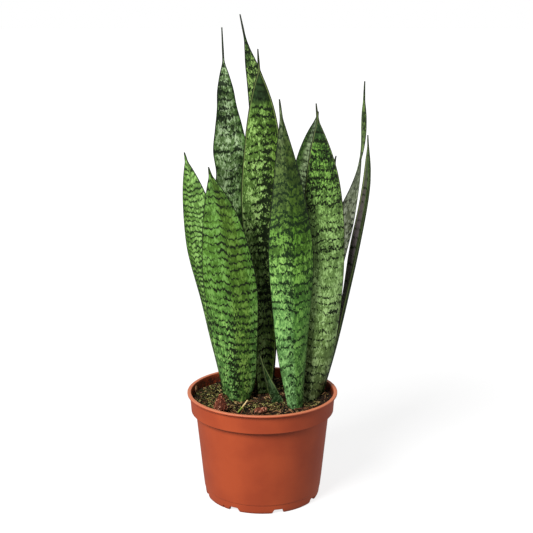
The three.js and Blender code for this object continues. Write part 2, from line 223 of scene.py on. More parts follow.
# Dried peat and painted shade darken the inside wall, where the surface faces the pot's axis,
# least at the back.
facing = add_node(tree, "VectorMath", {
    0: flat, 1: add_node(tree, "NewGeometry", output="Normal")},
    operation="DOT_PRODUCT", output="Value")
inside = add_node(tree, "MapRange", {"Value": facing, "From Min": 0.0, "From Max": -0.03})
dust_and_shade = add_node(tree, "TexNoise", {"Vector": place, "Scale": 1 / (3.125 * MM), "Detail": 4.0,
                                   "Roughness": 0.7})
dust_and_shade = add_node(tree, "MapRange", {"Value": dust_and_shade, "From Min": 0.36, "From Max": 0.56,
                                   "To Max": 0.92})
below_lip = add_node(tree, "MapRange", {
    "Value": height, "From Min": (POT_HEIGHT - 0.8) * MM, "From Max": (POT_HEIGHT - 3.5) * MM})
at_back = add_node(tree, "MapRange", {
    "Value": add_node(tree, "SeparateXYZ", {"Vector": flat}, output="Y"),
    "From Min": 55 * MM, "From Max": 72 * MM, "To Min": 1.0, "To Max": 0.25})
for share in (below_lip, inside, at_back):
    dust_and_shade = add_node(tree, "Math", {0: dust_and_shade, 1: share}, operation="MULTIPLY")
colour = add_node(tree, "Mix", {"Factor": dust_and_shade, 6: colour, 7: paint(POT_DUST_AND_SHADE)},
                  data_type="RGBA", output=2)
feed(tree, shader, {
    "Base Color": colour, "IOR": 1.49,
    "Roughness": add_node(tree, "MapRange", {"Value": grain, "To Min": 0.42, "To Max": 0.58}),
    "Normal": add_node(tree, "Bump", {"Height": grain, "Strength": 0.12,
                                      "Distance": 0.1 * MM})})



def wall(low, high, sides):
    """The faces between two rings of corners, numbered from low and from high."""
    return [(low + i, low + (i + 1) % sides, high + (i + 1) % sides, high + i)
            for i in range(sides)]


pot = add_mesh("pot_shell", pot_corners, pot_faces, polypropylene)
# The drains are drilled: eight round bits, one behind each notch, are cut from the shell.
drill_corners, drill_faces = [], []
for angle in NOTCH_ANGLES:
    low = len(drill_corners)
    high = low + DRAIN_SIDES
    centre = Matrix.Rotation(math.radians(angle), 3, "Z") @ Vector((0, -DRAIN_CIRCLE, 0))
    for level in DRILL_SPAN:
        for step in range(DRAIN_SIDES):
            turn = math.radians(step * 360 / DRAIN_SIDES)
            spot = centre + Vector((math.cos(turn), math.sin(turn), 0)) * DRAIN_RADIUS
            drill_corners.append(POT_AXIS + Vector((spot.x, spot.y, level)) * MM)
    drill_faces.append([low + step for step in reversed(range(DRAIN_SIDES))])
    drill_faces.append([high + step for step in range(DRAIN_SIDES)])
    drill_faces += wall(low, high, DRAIN_SIDES)
drill = add_mesh("drain_drill", drill_corners, drill_faces, polypropylene)
cut = pot.modifiers.new("drains", "BOOLEAN")
cut.object = drill
cut.operation = "DIFFERENCE"
cut.solver = "EXACT"
bpy.context.view_layer.update()
drilled = bpy.data.meshes.new_from_object(
    pot.evaluated_get(bpy.context.evaluated_depsgraph_get()))
pot.modifiers.clear()
pot.data = drilled
bpy.data.objects.remove(drill)
drilled.set_sharp_from_angle(angle=math.radians(32))
even = pot.modifiers.new("even_shading", "WEIGHTED_NORMAL")
even.keep_sharp = True
even.weight = 80
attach(pot, "root")
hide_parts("pot")


# ------------------------------------------------------------------------- peat
# The root ball's peat: fibrous black-brown peat that fills the pot to the rim band. It was
# pressed in round the rhizomes by hand, and its surface has dried into crumbs.
soil_low, soil_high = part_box("soil")
PEAT_EDGE = (soil_high.y - soil_low.y) / 2 / MM
PEAT_MIDDLE = 102.8          # surface height on the pot's axis
PEAT_TILT = 0.05             # fall towards the back, mm per mm
PEAT_BANK = 6.0              # rise against the wall, except at the front
BANK_FOOT, BANK_WIDTH = 46, 28           # where it starts, and how far it takes to rise
BANK_FRONT, BANK_FADE = -50, 45          # the same from front to back, for its height
PEAT_MOUND = 1.2             # rise round the clump
MOUND_SPREAD = 24
PEAT_LUMPS = 0.8
LUMP_SPREAD = (9, 11)
PEAT_HEAPS = 1.1             # lumps of no regular shape on all of that
HEAP_SPREAD = 16
PEAT_CRUMBS = [(6.0, 1.3), (3.0, 0.9), (1.6, 0.55)]      # size and height of the crumbs
CRUMBS_ABOVE = 1.2           # how far the highest crumb may stand above the frame's peat
# The side of the block below its edge: radius and height, down to the bevel of its foot.
PEAT_SIDE = [(PEAT_EDGE, 95.8), (69.8, 95.4), (60.3, 9.4), (58.2, 6.2)]
PEAT_GRID = 190
PEAT_WET = "#1C130B"
PEAT_MOIST = "#33241A"
PEAT_BROWN = "#4A3320"
PEAT_DRY = "#7A5A3A"
PEAT_ALGAE = "#4C4A22"


def peat_height(x, y):
    """Height of the smoothed surface above a point, in mm from the pot's axis."""
    mound = PEAT_MOUND * math.cos(math.hypot(x, y) / MOUND_SPREAD)
    lumps = PEAT_LUMPS * math.sin(x / LUMP_SPREAD[0] + 1) * math.cos(y / LUMP_SPREAD[1])
    outwards = min(max((math.hypot(x, y) - BANK_FOOT) / BANK_WIDTH, 0), 1)
    behind = min(max((y - BANK_FRONT) / BANK_FADE, 0), 1)
    bank = PEAT_BANK * outwards ** 2 * (3 - 2 * outwards) * behind ** 2 * (3 - 2 * behind)
    return PEAT_MIDDLE - PEAT_TILT * y + mound + lumps + bank


def crumbled(x, y):
    """Height of the crumbled surface: crumbs of three sizes heaped on the smoothed one."""
    heaps = PEAT_HEAPS * noise.noise(Vector((x / HEAP_SPREAD, y / HEAP_SPREAD, 3)))
    crumbs = 0
    for size, lift in PEAT_CRUMBS:
        near = noise.voronoi(Vector((x / size, y / size, size)))[0]
        crumbs += lift * (near[1] - near[0])
    return peat_height(x, y) + heaps + crumbs - 1.0


def disc_place(u, v):
    """A square's point carried onto a disc, with even spacing (u and v from -1 to 1)."""
    if u == 0 and v == 0:
        return 0, 0
    if abs(u) > abs(v):
        reach, turn = u, math.pi / 4 * v / u
    else:
        reach, turn = v, math.pi / 2 - math.pi / 4 * u / v
    return reach * math.cos(turn), reach * math.sin(turn)


peat_corners, peat_faces = [], []
top_limit = soil_high.z / MM + CRUMBS_ABOVE
for row in range(PEAT_GRID):
    for column in range(PEAT_GRID):
        x, y = disc_place(2 * column / (PEAT_GRID - 1) - 1, 2 * row / (PEAT_GRID - 1) - 1)
        x, y = x * PEAT_EDGE, y * PEAT_EDGE
        peat_corners.append((x, y, min(crumbled(x, y), top_limit)))
for row in range(PEAT_GRID - 1):
    for column in range(PEAT_GRID - 1):
        start = row * PEAT_GRID + column
        peat_faces.append((start, start + 1, start + PEAT_GRID + 1, start + PEAT_GRID))
last = PEAT_GRID - 1
border = (list(range(last)) + [row * PEAT_GRID + last for row in range(last)]
          + [last * PEAT_GRID + column for column in range(last, 0, -1)]
          + [row * PEAT_GRID for row in range(last, 0, -1)])
previous = border
for radius, height in PEAT_SIDE:
    ring = []
    for corner in border:
        x, y, z = peat_corners[corner]
        scale = radius / math.hypot(x, y)
        ring.append(len(peat_corners))
        peat_corners.append((x * scale, y * scale, height))
    for i in range(len(border)):
        after = (i + 1) % len(border)
        peat_faces.append((previous[i], ring[i], ring[after], previous[after]))
    previous = ring
peat_faces.append(list(reversed(previous)))

# Peat: no gloss at all. Wet crumbs are nearly black, the dried fibre between them brown, and a
# green film of algae grows where the surface stays damp.
peat_surface, tree, shader = new_material("fibrous_peat")
place = add_node(tree, "NewGeometry", output="Position")
crumb = add_node(tree, "TexNoise", {"Vector": place, "Scale": 1 / (2.4 * MM), "Detail": 5.0,
                                    "Roughness": 0.72})
colour = add_node(tree, "ValToRGB", {"Fac": crumb}, stops=[
    (0.3, PEAT_WET), (0.5, PEAT_MOIST), (0.62, PEAT_BROWN), (0.78, PEAT_DRY)])
damp = add_node(tree, "TexNoise", {"Vector": place, "Scale": 1 / (18 * MM), "Detail": 3.0})
damp = add_node(tree, "MapRange", {"Value": damp, "From Min": 0.48, "From Max": 0.62,
                                   "To Max": 0.55})
colour = add_node(tree, "Mix", {"Factor": damp, 6: colour, 7: paint(PEAT_ALGAE)},
                  data_type="RGBA", output=2)
# Painted shade: each crumb is darkened towards its edges, as the shade in the gaps between crumbs.
shade = add_node(tree, "TexVoronoi", {"Vector": place, "Scale": 1 / (3 * MM)}, output="Distance")
shade = add_node(tree, "MapRange", {"Value": shade, "From Max": 0.6, "To Min": 1.0,
                                    "To Max": 0.35})
colour = add_node(tree, "Mix", {"Factor": 1.0, 6: colour, 7: shade},
                  data_type="RGBA", blend_type="MULTIPLY", output=2)
feed(tree, shader, {
    "Base Color": colour, "Roughness": 0.95, "Specular IOR Level": 0.2,
    "Normal": add_node(tree, "Bump", {"Height": crumb, "Strength": 0.7,
                                      "Distance": 0.8 * MM})})

peat = add_mesh("peat_fill", [POT_AXIS + Vector(c) * MM for c in peat_corners], peat_faces,
                peat_surface)
peat.data.set_sharp_from_angle(angle=math.radians(60))
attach(peat, "root")
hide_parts("soil")


# --------------------------------------------------------------------- rhizomes
# The level stems under the surface that the leaves grow from: fleshy, with a thin corky skin in
# rings where old scales fell off. They keep the shape of the frame, buried in the peat.
RHIZOME_ORANGE = "#C9863F"
RHIZOME_SCALE = "#7C4A22"
RHIZOME_PALE = "#E0AC6A"
rhizome_skin, tree, shader = new_material("corky_rhizome_skin")
place = add_node(tree, "NewGeometry", output="Position")
rings = add_node(tree, "TexWave", {"Vector": place, "Scale": 1 / (26 * MM), "Distortion": 6.0,
                                   "Detail": 2.0}, bands_direction="Y")
skin = add_node(tree, "TexNoise", {"Vector": place, "Scale": 1 / (1.5 * MM), "Detail": 4.0})
blend = add_node(tree, "Math", {0: rings, 1: skin}, operation="MULTIPLY")
colour = add_node(tree, "ValToRGB", {"Fac": blend}, stops=[
    (0.1, RHIZOME_SCALE), (0.35, RHIZOME_ORANGE), (0.8, RHIZOME_PALE)])
feed(tree, shader, {
    "Base Color": colour, "Roughness": 0.7,
    "Normal": add_node(tree, "Bump", {"Height": blend, "Strength": 0.4,
                                      "Distance": 0.4 * MM})})
for name in sorted(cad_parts):
    if name.startswith("rhizome_"):
        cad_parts[name].data.materials[0] = rhizome_skin


# ----------------------------------------------------------------------- leaves
# Twelve stiff sword-shaped leaves, each a thick fleshy blade that is channelled at its foot and
# flat towards its tip, where it ends in a hard dry point. Each grows out of its rhizome and
# stands in the peat; the skin is waxy, green, and crossed by thin darker bands.
RING_SIDES = 12              # corners round a section of the frame's leaf
AROUND = 40                  # the same on the finished blade
STATION = 2.4                # mm between sections of the finished blade
TIP_STATION = 0.9            # the same near its tip
TIP_LENGTH = 40
SHORT_LEAF = 100             # a leaf below this length has its sections evenly spaced
SHORT_STATIONS = 60
BLADE_DEPTH = 2.2            # mm through the blade that its pattern is told of


def leaf_rings(node):
    """The frame's leaf as rings of corners in mm, each from the middle of its channelled side,
    through one margin, the middle of its back and the other margin."""
    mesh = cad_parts[node].data
    places, numbers, merged = {}, [], []
    for corner in mesh.vertices:
        key = tuple(round(c * 1e6) for c in corner.co)
        if key not in places:
            places[key] = len(merged)
            merged.append(corner.co / MM)
        numbers.append(places[key])
    triangles = [[numbers[v] for v in face.vertices] for face in mesh.polygons]
    touching = [set() for _ in merged]
    for ids in triangles:
        for i in ids:
            touching[i].update(ids)
    # Layers of corners, from the foot up: each holds the neighbours of the one before.
    foot = min(c.z for c in merged)
    at_foot = {i for i, c in enumerate(merged) if c.z < foot + 0.01}
    seen = set(at_foot)
    layers = [{i for i in at_foot if not touching[i] <= at_foot}]
    while layers[-1]:
        layers.append({j for i in layers[-1] for j in touching[i]} - seen)
        seen |= layers[-1]
    level = {i: number for number, layer in enumerate(layers) for i in layer}
    # Two corners of a layer stand side by side in its ring where they share a triangle with a
    # corner of the layer below or, at the foot, of the layer above.
    beside = [[] for _ in merged]
    for ids in triangles:
        for third in ids:
            i, j = (k for k in ids if k != third)
            if i in level and level[i] == level.get(j):
                other = level[i] - 1 if level[i] else 1
                if level.get(third) == other:
                    beside[i].append(j)
                    beside[j].append(i)
    rings = []
    for layer in layers:
        if len(layer) < RING_SIDES:
            continue
        walk = [min(layer)]
        while len(walk) < RING_SIDES:
            walk.append(next(j for j in beside[walk[-1]] if j not in walk))
        ring = np.array([merged[i] for i in walk])
        if rings:
            # Of all ways to number the ring, the one that lies closest to the ring before.
            before = rings[-1] - rings[-1].mean(0)
            ways = [np.roll(way, s, 0) for way in (ring, ring[::-1]) for s in range(RING_SIDES)]
            ring = min(ways, key=lambda w: ((w - w.mean(0) - before) ** 2).sum())
        rings.append(ring)
    rings = np.array(rings)
    # The corners furthest apart halfway up are the margins, and the side that their middle
    # lies towards, low down, is the channelled one. The rings then run the same way round.
    half, quarter = RING_SIDES // 2, RING_SIDES // 4
    spread = ((rings - np.roll(rings, half, 1)) ** 2).sum(2)
    margin = int(np.argmax(spread[len(rings) // 2]))
    rings = np.roll(rings, quarter - margin, 1)
    low = rings[3]
    margins = (low[quarter] + low[-quarter]) / 2
    if (low[0] - low[half]) @ (margins - (low[0] + low[half]) / 2) < 0:
        rings = np.roll(rings, half, 1)
    low, upward = rings[3], rings[4].mean(0) - rings[3].mean(0)
    if np.cross(upward, low[0] - low[half]) @ (low[quarter] - low[-quarter]) < 0:
        rings = np.roll(rings[:, ::-1], 1, 1)
    tip = np.array(merged[next(iter(layers[len(rings)]))])
    return rings, tip


def curved_through(values, knots, places):
    """Values given at the knots, followed smoothly at places between them."""
    slopes = np.gradient(values, knots, axis=0)
    span = np.clip(np.searchsorted(knots, places, side="right") - 1, 0, len(knots) - 2)
    width = knots[span + 1] - knots[span]
    t = ((places - knots[span]) / width)[:, None, None]
    width = width[:, None, None]
    return ((2 * t ** 3 - 3 * t ** 2 + 1) * values[span]
            + (t ** 3 - 2 * t ** 2 + t) * width * slopes[span]
            + (3 * t ** 2 - 2 * t ** 3) * values[span + 1]
            + (t ** 3 - t ** 2) * width * slopes[span + 1])


def grown_leaf(name, node, skin):
    """The finished blade: the frame's leaf with round sections and an even curve. Each corner
    carries where it lies on the blade, in mm, for the skin's pattern."""
    rings, tip = leaf_rings(node)
    middles = rings.mean(1)
    steps = np.linalg.norm(np.diff(middles, axis=0), axis=1)
    knots = np.concatenate([[0], np.cumsum(steps)])
    length = knots[-1]
    if length > SHORT_LEAF:
        tip_from = length - TIP_LENGTH
        places = np.concatenate([
            np.linspace(0, tip_from, int(tip_from / STATION), endpoint=False),
            np.arange(tip_from, length, TIP_STATION), [length]])
    else:
        places = np.linspace(0, length, SHORT_STATIONS)
    sections = curved_through(rings, knots, places)
    # Each section is rounded by the smooth closed curve of sines through its twelve corners.
    turns = np.linspace(0, 2 * math.pi, AROUND, endpoint=False)
    half_gap = (turns[:, None] - 2 * math.pi * np.arange(RING_SIDES) / RING_SIDES) / 2
    with np.errstate(divide="ignore", invalid="ignore"):
        weights = np.sin(RING_SIDES * half_gap) / (RING_SIDES * np.tan(half_gap))
    weights[np.abs(np.sin(half_gap)) < 1e-9] = 1
    blade = np.einsum("ji,sik->sjk", weights, sections)
    blade = np.clip(blade, np.minimum(rings.min((0, 1)), tip), np.maximum(rings.max((0, 1)), tip))
    around = np.linalg.norm(np.roll(blade, -1, 1) - blade, axis=2).sum(1)
    half_width = around / 4      # from the fold to a margin, along the skin
    corners = blade.reshape(-1, 3)
    stations = len(places)
    crosswise = np.outer(half_width, np.sin(turns)).ravel()
    channel = np.tile(np.cos(turns), stations)
    depth = BLADE_DEPTH * channel
    along = np.repeat(places, AROUND)
    to_edge = (half_width[:, None] * (1 - np.abs(np.sin(turns)))[None, :]).ravel()
    share = along / length
    faces = []
    for station in range(stations - 1):
        for i in range(AROUND):
            after = (i + 1) % AROUND
            low, high = station * AROUND, (station + 1) * AROUND
            faces.append((low + i, high + i, high + after, low + after))
    foot, end = len(corners), len(corners) + 1
    corners = np.vstack([corners, blade[0].mean(0), tip])
    for i in range(AROUND):
        after = (i + 1) % AROUND
        faces.append((foot, i, after))
        faces.append((end, (stations - 1) * AROUND + after, (stations - 1) * AROUND + i))
    flat = np.column_stack([crosswise, along, depth])
    flat = np.vstack([flat, [0, 0, 0], [0, length, 0]])
    made = add_mesh(name, corners * MM, faces, skin)
    mesh = made.data
    spot = mesh.attributes.new("blade_mm", "FLOAT_VECTOR", "POINT")
    spot.data.foreach_set("vector", flat.astype(np.float32).ravel())
    for title, values, ends in (("to_margin_mm", to_edge, (5, 0)), ("share", share, (0, 1)),
                                ("across", np.tile(np.sin(turns), stations), (0, 0)),
                                ("channel", channel, (0, 0))):
        layer = mesh.attributes.new(title, "FLOAT", "POINT")
        values = np.concatenate([values, ends]).astype(np.float32)
        layer.data.foreach_set("value", values)
    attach(made, "root")
    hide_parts(node)
    return made


# A ramp holds 0 to 1, so a strength is kept in it as a share of the furthest it may reach.
BEND_REACH = 10              # bend, in mm, goes from -10 to 10
BIAS_REACH = 5               # dark_along and dark_across go from -5 to 5
FLECK_REACH = 20             # flecks goes from 0 to 20
FOLD_REACH = 5               # fold goes from 0 to 5
COLUMN_WIDTH = 1.3           # mm, a column of cells in a band
COLUMN_LENGTH = 45
FOLD_EDGES = (0.17, 0.02)    # share of the width from the fold where its dark starts and is full
HALO_EDGES = (-2.2, 0.2)     # mm from a band's edge, the same for the halo round it
BAND_EDGE = 2.6              # mm: further than this from a band, its strength no longer falls
MARGIN_LINE = "#121A0E"
MARGIN_PALE = "#8A9A58"


def leaf_skin(name, look):
    """Waxy leaf skin: green ground, thin dark bands whose teeth come from the columns of cells
    they are made of, flecks between them, a dark margin and a hard dark point. Noise is scaled
    along three ways of the blade, in 1/mm: across it, along it and through it."""
    material, tree, shader = new_material(name)
    blade = add_node(tree, "Attribute", attribute_name="blade_mm", output="Vector")
    share, across, channel, to_margin = (
        add_node(tree, "Attribute", attribute_name=title, output="Fac")
        for title in ("share", "across", "channel", "to_margin_mm"))
    across = add_node(tree, "MapRange", {"Value": across, "From Min": -1.0, "From Max": 1.0})
    along = add_node(tree, "SeparateXYZ", {"Vector": blade}, output="Y")
    moved = add_node(tree, "VectorMath", {0: blade, 1: (0, 0, look["seed"])}, operation="ADD")
    # The fields of noise: scale, number of finer layers, and how much those add.
    fields = {}
    for title, scale, detail, roughness in (
            ("steps", (0.3, 0.03, 0.08), 0.0, 0.5), ("sway", (0.075, 0.012, 0.04), 0.0, 0.5),
            ("uneven", (0.0, 0.07, 0.0), 0.0, 0.5), ("broken", (0.16, 0.1, 0.1), 1.0, 0.5),
            ("fleck", (0.62, 0.4, 0.3), 1.5, 0.7), ("patch", look["patch_scale"], 1.0, 0.5),
            ("cloud", (0.13, 0.06, 0.1), 3.0, 0.6), ("fibre", (0.6, 0.24, 0.3), 2.0, 0.75)):
        spot = add_node(tree, "VectorMath", {0: moved, 1: scale}, operation="MULTIPLY")
        fields[title] = add_node(tree, "TexNoise", {
            "Vector": spot, "Scale": 1.0, "Detail": detail, "Roughness": roughness})
    # The groups of cells run the way the fibre does, at the same scale.
    cell = add_node(tree, "TexVoronoi", {"Vector": spot, "Scale": 1.0}, output="Color")

    # How far each band is shifted along the blade. Columns of cells make its teeth, groups of
    # columns its steps and the whole blade its sway, much alike from one band to the next. The
    # bend is the shape that all the bands of this leaf share.
    bend = add_node(tree, "ValToRGB", {"Fac": across},
                    stops=[(t, 0.5 + v / BEND_REACH / 2) for t, v in look["bend"]])
    shifted = add_node(tree, "Math", {0: bend, 1: 2 * BEND_REACH, 2: along},
                       operation="MULTIPLY_ADD")
    column = add_node(tree, "VectorMath", {
        0: moved, 1: (COLUMN_WIDTH, COLUMN_LENGTH, 1)}, operation="SNAP")
    tooth = add_node(tree, "TexWhiteNoise", {"Vector": column}, output="Value")
    shifted = add_node(tree, "Math", {0: tooth, 1: look["teeth"], 2: shifted},
                       operation="MULTIPLY_ADD")
    for title in ("steps", "sway", "uneven"):
        shifted = add_node(tree, "Math", {0: fields[title], 1: 2 * look[title], 2: shifted},
                           operation="MULTIPLY_ADD")

    # Distance in mm from the nearest band, and how strong that band is.
    count = add_node(tree, "Math", {0: shifted, 1: 1 / look["spacing"]}, operation="MULTIPLY")
    away = add_node(tree, "Math", {0: count}, operation="FRACT")
    away = add_node(tree, "Math", {0: away, 1: 0.5}, operation="SUBTRACT")
    away = add_node(tree, "Math", {0: away}, operation="ABSOLUTE")
    away = add_node(tree, "Math", {0: away, 1: look["spacing"]}, operation="MULTIPLY")
    away = add_node(tree, "Math", {0: away, 1: BAND_EDGE}, operation="MINIMUM")
    number = add_node(tree, "Math", {0: count}, operation="FLOOR")
    number = add_node(tree, "Math", {0: number, 1: look["seed"]}, operation="ADD")
    strong = add_node(tree, "TexWhiteNoise", {"W": number}, noise_dimensions="1D", output="Value")
    reach = add_node(tree, "MapRange", {"Value": strong, "To Min": look["thin"],
                                        "To Max": look["thick"]})
    broken = add_node(tree, "MapRange", {
        "Value": fields["broken"], "From Min": 0.3, "From Max": 0.7,
        "To Min": -look["broken"], "To Max": look["broken"]})
    field = add_node(tree, "Math", {0: reach, 1: away}, operation="SUBTRACT")
    field = add_node(tree, "Math", {0: field, 1: broken}, operation="ADD")

    # Flecks: single dark cells and small groups of them, denser in some stretches and along
    # the fold down the blade.
    fleck = add_node(tree, "Math", {0: fields["fleck"], 1: 0.5}, operation="SUBTRACT")
    amount = add_node(tree, "ValToRGB", {"Fac": share},
                      stops=[(t, v / FLECK_REACH) for t, v in look["flecks"]])
    amount = add_node(tree, "Math", {0: amount, 1: FLECK_REACH}, operation="MULTIPLY")
    field = add_node(tree, "Math", {0: fleck, 1: amount, 2: field}, operation="MULTIPLY_ADD")
    for way, strengths in ((share, look["dark_along"]), (across, look["dark_across"])):
        bias = add_node(tree, "ValToRGB", {"Fac": way},
                        stops=[(t, 0.5 + v / BIAS_REACH / 2) for t, v in strengths])
        bias = add_node(tree, "MapRange", {"Value": bias, "To Min": -BIAS_REACH,
                                           "To Max": BIAS_REACH})
        field = add_node(tree, "Math", {0: field, 1: bias}, operation="ADD")
    from_fold = add_node(tree, "Math", {0: across, 1: look["fold_at"]}, operation="SUBTRACT")
    from_fold = add_node(tree, "Math", {0: from_fold}, operation="ABSOLUTE")
    fold = add_node(tree, "MapRange", {
        "Value": from_fold, "From Min": FOLD_EDGES[0], "From Max": FOLD_EDGES[1]},
        interpolation_type="SMOOTHSTEP")
    amount = add_node(tree, "ValToRGB", {"Fac": share},
                      stops=[(t, v / FOLD_REACH) for t, v in look["fold"]])
    fold = add_node(tree, "Math", {0: fold, 1: amount}, operation="MULTIPLY")
    field = add_node(tree, "Math", {0: fold, 1: FOLD_REACH, 2: field},
                     operation="MULTIPLY_ADD")
    patch = add_node(tree, "Math", {0: fields["patch"], 1: 0.5}, operation="SUBTRACT")
    field = add_node(tree, "Math", {0: patch, 1: look["patches"], 2: field},
                     operation="MULTIPLY_ADD")

    # Ground colour: changes from foot to tip and from margin to margin. It is clouded, and each
    # group of cells, 1.7 mm by 4 mm, is a little paler or darker than the next.
    ground = add_node(tree, "ValToRGB", {"Fac": share}, stops=look["ground"])
    cell = add_node(tree, "SeparateColor", {"Color": cell}, output="Red")
    tone = add_node(tree, "Math", {0: cell, 1: 0.25, 2: fields["cloud"]},
                    operation="MULTIPLY_ADD")
    tone = add_node(tree, "Math", {0: fields["fibre"], 1: 1.2, 2: tone},
                    operation="MULTIPLY_ADD")
    light = add_node(tree, "MapRange", {"Value": tone, "From Min": 1.18, "From Max": 1.42,
                                        "To Max": look["light_share"]},
                     interpolation_type="SMOOTHSTEP")
    paler = add_node(tree, "ValToRGB", {"Fac": share}, stops=look["light"])
    ground = add_node(tree, "Mix", {"Factor": light, 6: ground, 7: paler},
                      data_type="RGBA", output=2)
    streak = add_node(tree, "MapRange", {"Value": tone, "From Min": 0.95, "From Max": 1.25,
                                         "To Min": 1 - look["streaks"], "To Max": 1.0})
    ground = add_node(tree, "Mix", {"Factor": 1.0, 6: ground, 7: streak},
                      data_type="RGBA", blend_type="MULTIPLY", output=2)
    if "inner_sheen" in look:
        # Painted sheen: the channelled side takes a pale purple-grey colour that stands in for the
        # sheen of light on it, as far across as a little short of the fold.
        channel = add_node(tree, "MapRange", {"Value": channel, "From Min": 0.0,
                                              "From Max": 0.25})
        reach = add_node(tree, "MapRange", {"Value": across, "From Min": look["inner_sheen_to"],
                                            "From Max": look["inner_sheen_to"] - 0.08})
        channel = add_node(tree, "Math", {0: channel, 1: reach}, operation="MULTIPLY")
        inner_sheen = add_node(tree, "ValToRGB", {"Fac": share}, stops=look["inner_sheen"])
        ground = add_node(tree, "Mix", {"Factor": channel, 6: ground, 7: inner_sheen},
                          data_type="RGBA", output=2)
    # Painted shade: the tint darkens the side of the blade that turns from the light, over the
    # leaf's own colour across it.
    tint_and_shade = add_node(tree, "ValToRGB", {"Fac": across}, stops=look["tint_and_shade"])
    ground = add_node(tree, "Mix", {"Factor": 1.0, 6: ground, 7: tint_and_shade},
                      data_type="RGBA", blend_type="MULTIPLY", output=2)
    dark = add_node(tree, "Mix", {"Factor": fields["cloud"], 6: paint(look["dark"]),
                                  7: paint(look["dark_soft"])}, data_type="RGBA", output=2)

    # What covers the ground, in this order: a halo of half-dark cells round each band, the band
    # itself, a pale line inside the margin, the margin, a hard dark line about 0.9 mm wide, and
    # the point that the blade narrows into, which is hard, dry and nearly black.
    colour, covers = ground, []
    for way, start, end, most, layer in (
            (field, *HALO_EDGES, look["halo"], dark),
            (field, -look["soft"], look["soft"], look["depth"], dark),
            (to_margin, 2.0, 1.2, look["pale_margin"], paint(MARGIN_PALE)),
            (to_margin, 1.2, 0.7, 0.95, paint(MARGIN_LINE)),
            (share, look["point_from"], look["point_from"] + 0.015, 0.85,
             paint(look["point"]))):
        covers.append(add_node(tree, "MapRange", {
            "Value": way, "From Min": start, "From Max": end, "To Max": most},
            interpolation_type="SMOOTHSTEP"))
        colour = add_node(tree, "Mix", {"Factor": covers[-1], 6: colour, 7: layer},
                          data_type="RGBA", output=2)
    # The bands lie a little lower than the ground between them.
    height = add_node(tree, "Math", {0: covers[1], 1: -0.3, 2: fields["fibre"]},
                      operation="MULTIPLY_ADD")
    feed(tree, shader, {
        "Base Color": colour, "IOR": 1.45, "Specular IOR Level": 0.18,
        "Roughness": add_node(tree, "MapRange", {
            "Value": fields["fibre"], "From Min": 0.3, "From Max": 0.7, "To Min": 0.42,
            "To Max": 0.6}),
        "Normal": add_node(tree, "Bump", {"Height": height, "Strength": 0.3,
                                          "Distance": 0.3 * MM})})
    return material


# One skin per leaf, lengths in mm. From foot to tip, at shares of the length, go the strengths of
# the flecks, dark_along and fold and the colours of ground, light (its paler cells) and the inner
# sheen (a painted sheen on its channelled side). From one margin to the other go bend, dark_across
# and the tint, which is the leaf's own colour and painted shade on the side that turns from the
# light.
# The bands are thin to thick, half a width, spacing apart, and broken, steps, sway, teeth and
# uneven are how far they stray. Patches, patch_scale in 1/mm, darken them by areas.
# Low on the blade the ground is darker and the dark marks denser: partly the sheaths' own colour,
# partly painted shade where the leaves crowd together.
PLAIN = {
    "spacing": 8.2, "thin": 0.5, "thick": 1.15, "teeth": 1.5, "steps": 2.2, "sway": 5.0,
    "uneven": 2.0, "bend": [(0, 0), (1, 0)], "broken": 0.4, "soft": 0.3, "depth": 0.98,
    "patches": 2.5, "patch_scale": (0.06, 0.035, 0.05), "halo": 0.35, "flecks": [(0, 6), (1, 5)],
    "dark_along": [(0, 1.5), (0.2, 0), (1, 0)], "dark_across": [(0, 0), (1, 0)],
    "fold_at": 0.5, "fold": [(0, 0), (1, 0)], "tint_and_shade": [(0, "#FFFFFF"), (1, "#FFFFFF")],
    "ground": [(0, "#33522C"), (0.25, "#456C2A"), (0.7, "#476B2A"), (1, "#436529")],
    "light": [(0, "#6F9B4A")], "light_share": 0.9, "streaks": 0.35, "dark": "#080E04",
    "dark_soft": "#18260E", "pale_margin": 0.0, "point_from": 0.985, "point": "#1F2415",
}
